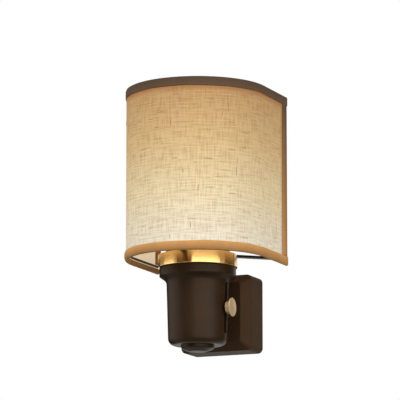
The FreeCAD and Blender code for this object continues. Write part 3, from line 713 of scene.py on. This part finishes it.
@dataclass
class LinenSkin:
    """The stretched linen and its slubs, laid out flat and bent to the plan by nodes."""

    plan: ShadePlan
    tape: float = 0.35 * MM
    thickness: float = 0.55 * MM
    columns: int = 200
    rows: int = 90
    slub_count: int = 90
    slub_least: tuple[float, float, float] = (2.2 * MM, 0.22 * MM, 0.16 * MM)
    slub_most: tuple[float, float, float] = (6.5 * MM, 0.36 * MM, 0.24 * MM)
    upright_share: float = 0.30
    slub_sway: float = 0.02
    slub_field: tuple[float, float] = (0.94, 0.86)   # share of the cloth that has slubs
    seed: int = 7

    def bend(self, shape: NodeShape, geometry: NodeSocket,
             sizes: dict[str, NodeSocket]) -> NodeSocket:
        """Bend flat cloth round the shade's plan.

        Args:
            shape: Tree that is being built.
            geometry: Flat geometry, its middle at the origin, facing up.
            sizes: Sockets Radius, Straight, Length, Axis and Middle.

        Returns:
            The bent geometry, with the attribute flat_mm.
        """
        maths = shape.maths
        place = shape.add("GeometryNodeInputPosition").outputs["Position"]
        axes = shape.add("ShaderNodeSeparateXYZ", {"Vector": place})
        half = maths("MULTIPLY", sizes["Length"], 0.5)
        run = maths("ADD", axes.outputs["X"], half)
        beyond = maths("SUBTRACT", run, sizes["Straight"])
        arc = maths("MULTIPLY", sizes["Radius"], math.pi)
        along = maths("MINIMUM", maths("MAXIMUM", beyond, 0.0), arc)
        angle = maths("DIVIDE", along, sizes["Radius"])
        before = maths("MAXIMUM", maths("MULTIPLY", beyond, -1.0), 0.0)
        after = maths("MAXIMUM", maths("SUBTRACT", beyond, arc), 0.0)
        reach = maths("ADD", sizes["Radius"], axes.outputs["Z"])
        across = maths("MULTIPLY", maths("COSINE", angle), maths("MULTIPLY", reach, -1.0))
        front = maths("MULTIPLY", maths("SINE", angle), reach)
        depth = maths("ADD", maths("SUBTRACT", sizes["Axis"], front),
                      maths("ADD", before, after))
        height = maths("ADD", axes.outputs["Y"], sizes["Middle"])
        bent = shape.add("ShaderNodeCombineXYZ", {"X": across, "Y": depth, "Z": height})
        tall = maths("ADD", axes.outputs["Y"], (self.plan.high - self.plan.low) / 2)
        flat = shape.add("ShaderNodeCombineXYZ", {
            "X": maths("MULTIPLY", run, 1 / MM), "Y": maths("MULTIPLY", tall, 1 / MM)})
        named = shape.add("GeometryNodeStoreNamedAttribute", {
            "Geometry": geometry, "Name": "flat_mm", "Value": flat.outputs["Vector"]},
            data_type="FLOAT_VECTOR", domain="POINT")
        kept = shape.add("GeometryNodeCaptureAttribute", {"Geometry": named.outputs["Geometry"]})
        kept.capture_items.new("VECTOR", "Bent")
        shape.tree.links.new(bent.outputs["Vector"], kept.inputs["Bent"])
        moved = shape.add("GeometryNodeSetPosition", {
            "Geometry": kept.outputs["Geometry"], "Position": kept.outputs["Bent"]})
        return moved.outputs["Geometry"]

    def sizes(self, shape: NodeShape, **more: float) -> dict[str, NodeSocket]:
        """Args:
            shape: Tree that is being built.
            **more: Name and value of each further size.

        Returns:
            Name of each size to its socket.
        """
        back = self.plan.back - self.tape
        return shape.take(
            Radius=self.plan.radius - self.tape, Straight=self.plan.straight(back),
            Length=self.plan.length(self.tape, back), Axis=AXIS_Y,
            Middle=(self.plan.low + self.plan.high) / 2,
            Height=self.plan.high - self.plan.low - 2 * self.tape, **more)

    def cloth(self) -> Object:
        """Make the linen sheet with its real thickness.

        Returns:
            The sheet, linen_skin.
        """
        shape = NodeShape("linen_skin")
        sizes = self.sizes(shape, Columns=self.columns, Rows=self.rows)
        grid = shape.add("GeometryNodeMeshGrid", {
            "Size X": sizes["Length"], "Size Y": sizes["Height"],
            "Vertices X": sizes["Columns"], "Vertices Y": sizes["Rows"]})
        bent = self.bend(shape, grid.outputs["Mesh"], sizes)
        smooth = shape.add("GeometryNodeSetShadeSmooth", {"Geometry": bent})
        piece = shape.finish(smooth.outputs["Geometry"], LINEN)
        bm = bmesh.new()
        bm.from_mesh(piece.data)
        bm.normal_update()
        bm.faces.ensure_lookup_table()
        face = bm.faces[len(bm.faces) // 2]
        middle = face.calc_center_median()
        if face.normal.dot(middle - Vector((0, AXIS_Y, middle.z))) < 0:
            bmesh.ops.reverse_faces(bm, faces=bm.faces)
        bm.to_mesh(piece.data)
        bm.free()
        wall = piece.modifiers.new("wall", "SOLIDIFY")
        wall.thickness = self.thickness
        wall.offset = -1.0
        return piece

    def slubs(self) -> Object:
        """Scatter thick uneven yarns on the cloth, most of them level.

        Returns:
            All the yarns as one piece, linen_slubs.
        """
        shape = NodeShape("linen_slubs")
        sizes = self.sizes(shape, Slubs=self.slub_count, Seed=self.seed)
        grid = shape.add("GeometryNodeMeshGrid", {
            "Size X": shape.maths("MULTIPLY", sizes["Length"], self.slub_field[0]),
            "Size Y": shape.maths("MULTIPLY", sizes["Height"], self.slub_field[1]),
            "Vertices X": 2, "Vertices Y": 2})
        density = shape.maths("DIVIDE", sizes["Slubs"], shape.maths(
            "MULTIPLY", sizes["Length"], sizes["Height"]))
        points = shape.add("GeometryNodeDistributePointsOnFaces", {
            "Mesh": grid.outputs["Mesh"], "Density": density, "Seed": sizes["Seed"]})
        yarn = shape.add("GeometryNodeMeshUVSphere", {
            "Segments": 10, "Rings": 5, "Radius": 0.5})
        kind = shape.add("FunctionNodeRandomValue", {"Seed": 3}, data_type="FLOAT")
        upright = shape.add("FunctionNodeCompare", {
            "A": kind.outputs["Value"], "B": self.upright_share}, data_type="FLOAT",
            operation="LESS_THAN")
        sway = shape.add("FunctionNodeRandomValue", {
            2: -self.slub_sway, 3: self.slub_sway, "Seed": 5}, data_type="FLOAT")
        turn = shape.maths("ADD", sway.outputs["Value"], shape.maths(
            "MULTIPLY", upright.outputs["Result"], math.pi / 2))
        turned = shape.add("ShaderNodeCombineXYZ", {"Z": turn})
        size = shape.add("FunctionNodeRandomValue", {
            "Min": self.slub_least, "Max": self.slub_most, "Seed": 9}, data_type="FLOAT_VECTOR")
        placed = shape.add("GeometryNodeInstanceOnPoints", {
            "Points": points.outputs["Points"], "Instance": yarn.outputs["Mesh"],
            "Rotation": turned.outputs["Vector"], "Scale": size.outputs["Value"]})
        real = shape.add("GeometryNodeRealizeInstances", {
            "Geometry": placed.outputs["Instances"]})
        bent = self.bend(shape, real.outputs["Geometry"], sizes)
        smooth = shape.add("GeometryNodeSetShadeSmooth", {"Geometry": bent})
        return shape.finish(smooth.outputs["Geometry"], SLUB_YARN)


@dataclass
class EdgeTape:
    """Tape folded over a long edge: rolled outside, flat inside, closed at the ends."""

    plan: ShadePlan
    edge: Edge
    inner_mm: float
    outer_mm: float = 5.3
    tape_mm: float = 0.35
    sheets_mm: float = 1.0        # linen and backing inside the fold
    pinch_mm: float = 7.0         # near each end the roll is pressed flat
    pressed: float = 0.2          # share of the roll's bulge that stays at the end
    bulge: float = 1.0            # share of the bulge that this edge has

    def profile(self) -> tuple[list[tuple[float, float]], list[tuple[float, float]]]:
        """Section of the fold as (inset, height above the edge) in millimetres.

        Returns:
            Its outer line and its inner line, each from the outer leg to the inner one.
        """
        t = self.tape_mm
        inside = t + self.sheets_mm
        outer = [(0.12, self.outer_mm), (-0.10, self.outer_mm - 0.2),
                 (-0.44, self.outer_mm - 1.1), (-0.62, 2.9), (-0.52, 1.6), (-0.22, 0.75),
                 (0.18, 0.22), (0.62, 0.01), (1.05, 0.02), (1.40, 0.22), (1.63, 0.62),
                 (1.70, 1.2), (1.70, self.inner_mm - 0.2), (1.60, self.inner_mm)]
        inner = [(t, self.outer_mm), (t, self.outer_mm - 0.3), (t, self.outer_mm - 1.2),
                 (t, 2.4), (t, 1.3), (t, 0.75), (0.48, 0.42), (0.70, 0.33), (1.00, 0.33),
                 (1.22, 0.42), (inside, 0.70), (inside, 1.2), (inside, self.inner_mm - 0.2),
                 (inside, self.inner_mm)]
        return outer, inner

    def press(self, points: list[tuple[float, float]],
              share: float) -> list[tuple[float, float]]:
        """Keep only a share of the roll's outward bulge."""
        return [(x * share if x < 0 else x, z) for x, z in points]

    def placed(self, place: Vector, out: Vector, point: tuple[float, float],
               lift: float = 0.0) -> Vector:
        """Put one point of the section at a station.

        Args:
            place: Place of the station on the plan.
            out: Its outward direction.
            point: Inset and height above the edge, in millimetres.
            lift: Further height in metres.

        Returns:
            The point's place on the lamp.
        """
        base = self.plan.low if self.edge is Edge.BOTTOM else self.plan.high
        spot = place - out * (point[0] * MM)
        spot.z = base + self.edge.value * (point[1] * MM + lift)
        return spot

    def build(self) -> Object:
        """Sweep the section round the plan, with a hand-cut free edge and closed ends.

        Returns:
            The folded tape.
        """
        outer, inner = self.profile()
        rings, runs = [], []
        stations = self.plan.stations(self.plan.back - self.tape_mm * MM)
        for place, out, run in stations:
            from_end = min(run, stations[-1][2] - run) / (self.pinch_mm * MM)
            share = self.bulge * (self.pressed + (1 - self.pressed) * min(from_end, 1.0))
            sway = 0.07 * MM * math.sin(run / (9 * MM)) + 0.05 * MM * math.sin(run / (3.7 * MM))
            legs = [*enumerate(self.press(outer, share)), *reversed(list(enumerate(inner)))]
            rings.append([self.placed(place, out, point, sway if i < 2 else 0.0)
                          for i, point in legs])
            runs.append(run)
        piece = skin(f"tape_{self.edge.name.lower()}_fold", rings, runs, TAPE)
        self.close_ends(piece, self.press(outer, self.pressed * self.bulge))
        return piece

    def close_ends(self, piece: Object, outer: list[tuple[float, float]]) -> None:
        """Add the tucked ends that cover the cut sheets at the back.

        Args:
            piece: The folded tape.
            outer: Outer line of its section.
        """
        bm = bmesh.new()
        bm.from_mesh(piece.data)
        layer = bm.verts.layers.float_vector["flat_mm"]
        outline = [*outer[:-1], (1.70, self.inner_mm), (1.40, self.inner_mm + 0.1),
                   (1.35, self.outer_mm)]
        for side in Side:
            out = Vector((side.value, 0, 0))
            rows = []
            for depth, shrink in ((-self.tape_mm, 0.0), (-0.12, 0.0), (0.0, 0.10)):
                place = Vector((side.value * self.plan.radius, self.plan.back + depth * MM, 0))
                row = []
                for x, z in outline:
                    point = (x + shrink * (0.8 - x), max(z, shrink))
                    vert = bm.verts.new(self.placed(place, out, point))
                    vert[layer] = (depth + 3 * side.value, z, 0)
                    row.append(vert)
                rows.append(row)
            close_rows(bm, rows)
        bmesh.ops.recalc_face_normals(bm, faces=bm.faces)
        bm.to_mesh(piece.data)
        bm.free()


@dataclass
class SideTape:
    """Tape folded round an upright back edge, over the wire inside it."""

    plan: ShadePlan
    side: Side
    outer_mm: float = 7.6
    inner_mm: float = 5.5
    ends_mm: float = 5.3          # height of the long edges' tapes that it meets
    steps: int = 60
    opens_mm: float = 6.0         # below its upper end the inner leg opens for the hoop
    opening_mm: float = 4.0       # height over which it opens

    def section(self, open_up: float) -> list[tuple[float, float]]:
        """Closed section as (inset, distance from the back edge) in millimetres.

        Args:
            open_up: 0 where the inner leg lies on the backing, 1 where it passes a hoop.

        Returns:
            Points round the section, outside first.
        """
        lie = 1.78 + 1.24 * open_up
        return [(0.10, self.outer_mm), (-0.05, self.outer_mm - 0.3), (-0.10, 5.2),
                (-0.12, 3.0), (-0.05, 1.6), (0.14, 0.75), (0.55, 0.22), (1.15, 0.0),
                (1.95, 0.0), (2.60, 0.24), (2.96, 0.75), (3.04, 1.5), (3.03, 2.2),
                (lie + 0.25 * (3.04 - lie), 3.3), (lie, 4.2), (lie, self.inner_mm - 0.2),
                (lie - 0.12, self.inner_mm), (lie - 0.35, self.inner_mm), (lie - 0.35, 4.2),
                (lie - 0.33 + 0.25 * (3.04 - lie), 3.15), (2.70, 2.1), (2.70, 1.5),
                (2.62, 0.85), (2.35, 0.48), (1.90, 0.34), (1.20, 0.34), (0.72, 0.52),
                (0.42, 0.95), (0.35, 1.6), (0.35, 3.0), (0.35, 5.2),
                (0.35, self.outer_mm)]

    def build(self) -> Object:
        """Sweep the section up the edge.

        Returns:
            The folded tape.
        """
        low = self.plan.low + self.ends_mm * MM
        high = self.plan.high - self.ends_mm * MM
        rings, runs = [], []
        for i in range(self.steps + 1):
            z = low + (high - low) * i / self.steps
            reach = (z - (high - self.opens_mm * MM)) / (self.opening_mm * MM)
            reach = min(max(reach, 0.0), 1.0)
            open_up = reach * reach * (3 - 2 * reach)
            sway = 0.08 * math.sin(z / (7 * MM)) + 0.05 * math.sin(z / (2.9 * MM))
            rings.append([Vector((
                self.side.value * (self.plan.radius - inset * MM),
                self.plan.back - (depth + (sway if j < 2 else 0.0)) * MM, z))
                for j, (inset, depth) in enumerate(self.section(open_up))])
            runs.append(z - low)
        return skin(f"tape_{self.side.name.lower()}_fold", rings, runs, TAPE)


@dataclass
class ClothShade:
    """Linen, slubs and the four tapes, in place of their plain solids."""

    plan: ShadePlan = field(default_factory=ShadePlan)

    def build(self) -> None:
        linen = LinenSkin(self.plan)
        cloth = linen.cloth()
        slubs = linen.slubs()
        tapes = {
            "tape_bottom": EdgeTape(self.plan, Edge.BOTTOM, 2.9).build(),
            "tape_top": EdgeTape(self.plan, Edge.TOP, 5.3, bulge=0.3).build(),
            "tape_left": SideTape(self.plan, Side.LEFT).build(),
            "tape_right": SideTape(self.plan, Side.RIGHT).build(),
        }
        for node, piece in {"shade_linen": cloth, **tapes}.items():
            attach(piece, "shade")
            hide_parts(node)
            LOG.info("%s stands for %s", piece.name, node)
        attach(slubs, "shade")
        back = self.plan.back - linen.tape
        self.plan.length(linen.tape, back)
        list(tapes.values())
        LOG.info("%s slub yarns", linen.slub_count)


@dataclass
class Studio:
    """Plain pale floor, soft lights, dark cards that only metal mirrors, and the camera."""

    floor_drop: float = 2.5       # low enough to look up at the lamp from below
    floor_half: float = 8.0
    floor_lift: float = 0.55
    ambient: float = 0.36
    card_away: float = 0.6
    card_low: float = -0.41
    card_high: float = 0.6
    aim: tuple[float, float, float] = (0.0, AXIS_Y, 0.05)
    # Name, place, size in metres and power in watts
    lamps: tuple[tuple, ...] = (
        ("key", (-0.25, -1.15, 0.70), 0.8, 9.0),
        ("fill", (1.15, -0.40, 0.25), 0.7, 5.2))
    # Name, degrees to the right of the camera's direction, half the width and glow
    cards: tuple[tuple[str, float, float, float], ...] = (
        ("card_dark_left", -40.0, 23.0, 0.0), ("card_dark_right", 108.0, 24.0, 0.0),
        ("card_dark_rim", -152.0, 16.0, 0.0), ("card_bright", 21.0, 37.0, 4.4),
        ("card_bright_left", -92.0, 20.0, 2.6))

    def floor(self) -> None:
        """Pale floor well below the lamp, as white as the world where it is seen."""
        half, low = self.floor_half, -self.floor_drop
        floor = self.plate("floor", [(-half, -half, low), (half, -half, low),
                                     (half, half, low), (-half, half, low)], "#F2F1EE")
        tree = floor.data.materials[0].node_tree
        lift = add_node(tree, "ShaderNodeMath", {0: self.seen(tree), 1: self.floor_lift},
                        operation="MULTIPLY")
        tree.links.new(lift.outputs["Value"],
                       tree.nodes["Principled BSDF"].inputs["Emission Strength"])

    def seen(self, tree: NodeTree) -> NodeSocket:
        """Tell the rays that show a thing from the rays that light one.

        Args:
            tree: Tree of a material or of the world.

        Returns:
            Socket that is 1 for camera, mirror and glass rays and 0 for light.
        """
        path = add_node(tree, "ShaderNodeLightPath")
        mirrored = add_node(tree, "ShaderNodeMath", {
            0: path.outputs["Is Camera Ray"], 1: path.outputs["Is Glossy Ray"]},
            operation="MAXIMUM")
        return add_node(tree, "ShaderNodeMath", {
            0: mirrored.outputs["Value"], 1: path.outputs["Is Transmission Ray"]},
            operation="MAXIMUM").outputs["Value"]

    def plate(self, name: str, corners: list[tuple[float, float, float]],
              colour: str, glow: float = 0.0) -> Object:
        """Make one flat matt plate of the studio, which may glow.

        Args:
            name: Name of the plate and its material.
            corners: Four corners in order.
            colour: Its sRGB hex colour.
            glow: Strength of its light.

        Returns:
            The plate.
        """
        mesh = bpy.data.meshes.new(name)
        mesh.from_pydata(corners, [], [(0, 1, 2, 3)])
        plate = put(name, mesh)
        material = bpy.data.materials.new(name)
        material.use_nodes = True
        shader = material.node_tree.nodes["Principled BSDF"]
        for socket, value in {
                "Base Color": linear(colour), "Roughness": 0.9, "Specular IOR Level": 0.1,
                "Emission Color": linear("#FFFAF2"), "Emission Strength": glow}.items():
            shader.inputs[socket].default_value = value
        mesh.materials.append(material)
        return plate

    def hang_cards(self) -> None:
        """Dark and bright cards that only metal and gloss mirror, for streaks down the brass."""
        ahead = Vector((math.sin(CAMERA_YAW), -math.cos(CAMERA_YAW), 0))
        right = Vector((math.cos(CAMERA_YAW), math.sin(CAMERA_YAW), 0))
        axis = Vector((0, AXIS_Y, 0))
        for name, middle, half, glow in self.cards:
            ends = []
            for angle in (math.radians(middle - half), math.radians(middle + half)):
                way = ahead * math.cos(angle) + right * math.sin(angle)
                ends.append(axis + way * self.card_away)
            corners = [(*ends[0].xy, self.card_low), (*ends[1].xy, self.card_low),
                       (*ends[1].xy, self.card_high), (*ends[0].xy, self.card_high)]
            card = self.plate(name, corners, "#0A0705", glow)
            for ray in ("camera", "diffuse", "shadow", "transmission"):
                setattr(card, f"visible_{ray}", False)

    def world(self) -> None:
        """White where it is seen or mirrored, softer as a light."""
        world = bpy.data.worlds.new("studio")
        bpy.context.scene.world = world
        world.use_nodes = True
        tree = world.node_tree
        tree.nodes.clear()
        strength = add_node(tree, "ShaderNodeMapRange", {
            "Value": self.seen(tree), "To Min": self.ambient, "To Max": 1.0})
        back = add_node(tree, "ShaderNodeBackground", {
            "Color": (1, 1, 1, 1), "Strength": strength.outputs["Result"]})
        add_node(tree, "ShaderNodeOutputWorld", {"Surface": back.outputs["Background"]})

    def turn(self, thing: Object, place: Vector, heading: Vector) -> None:
        """Stand a lamp or the camera at a place and turn it along its heading."""
        thing.location = place
        thing.rotation_mode = "QUATERNION"
        thing.rotation_quaternion = heading.to_track_quat("-Z", "Y")

    def light(self) -> None:
        """Two soft square lamps aimed at the lamp's middle."""
        for name, place, size, power in self.lamps:
            data = bpy.data.lights.new(name, "AREA")
            data.shape = "SQUARE"
            data.size = size
            data.energy = power
            self.turn(put(name, data), Vector(place), Vector(self.aim) - Vector(place))

    def camera(self) -> None:
        """Camera at the photograph's place, heading and width of view."""
        data = bpy.data.cameras.new("camera")
        data.sensor_width = SENSOR_MM
        data.lens = FOCAL_PIXELS * SENSOR_MM / FRAME_PIXELS
        camera = put("camera", data)
        heading = Vector((-math.sin(CAMERA_YAW) * math.cos(CAMERA_PITCH),
                          math.cos(CAMERA_YAW) * math.cos(CAMERA_PITCH),
                          math.sin(CAMERA_PITCH)))
        self.turn(camera, CAMERA_PLACE, heading)
        bpy.context.scene.camera = camera

    def build(self) -> None:
        """Make the whole studio."""
        bpy.context.scene.view_settings.view_transform = "Standard"
        self.floor()
        self.world()
        self.hang_cards()
        self.light()
        self.camera()


def main() -> None:
    """Build the classes in order."""
    logging.basicConfig(level=logging.INFO, format="%(message)s")
    Studio().build()
    CarriedParts(CAD_FINISHES).dress()
    ClothShade().build()


if __name__ == "__main__":
    main()
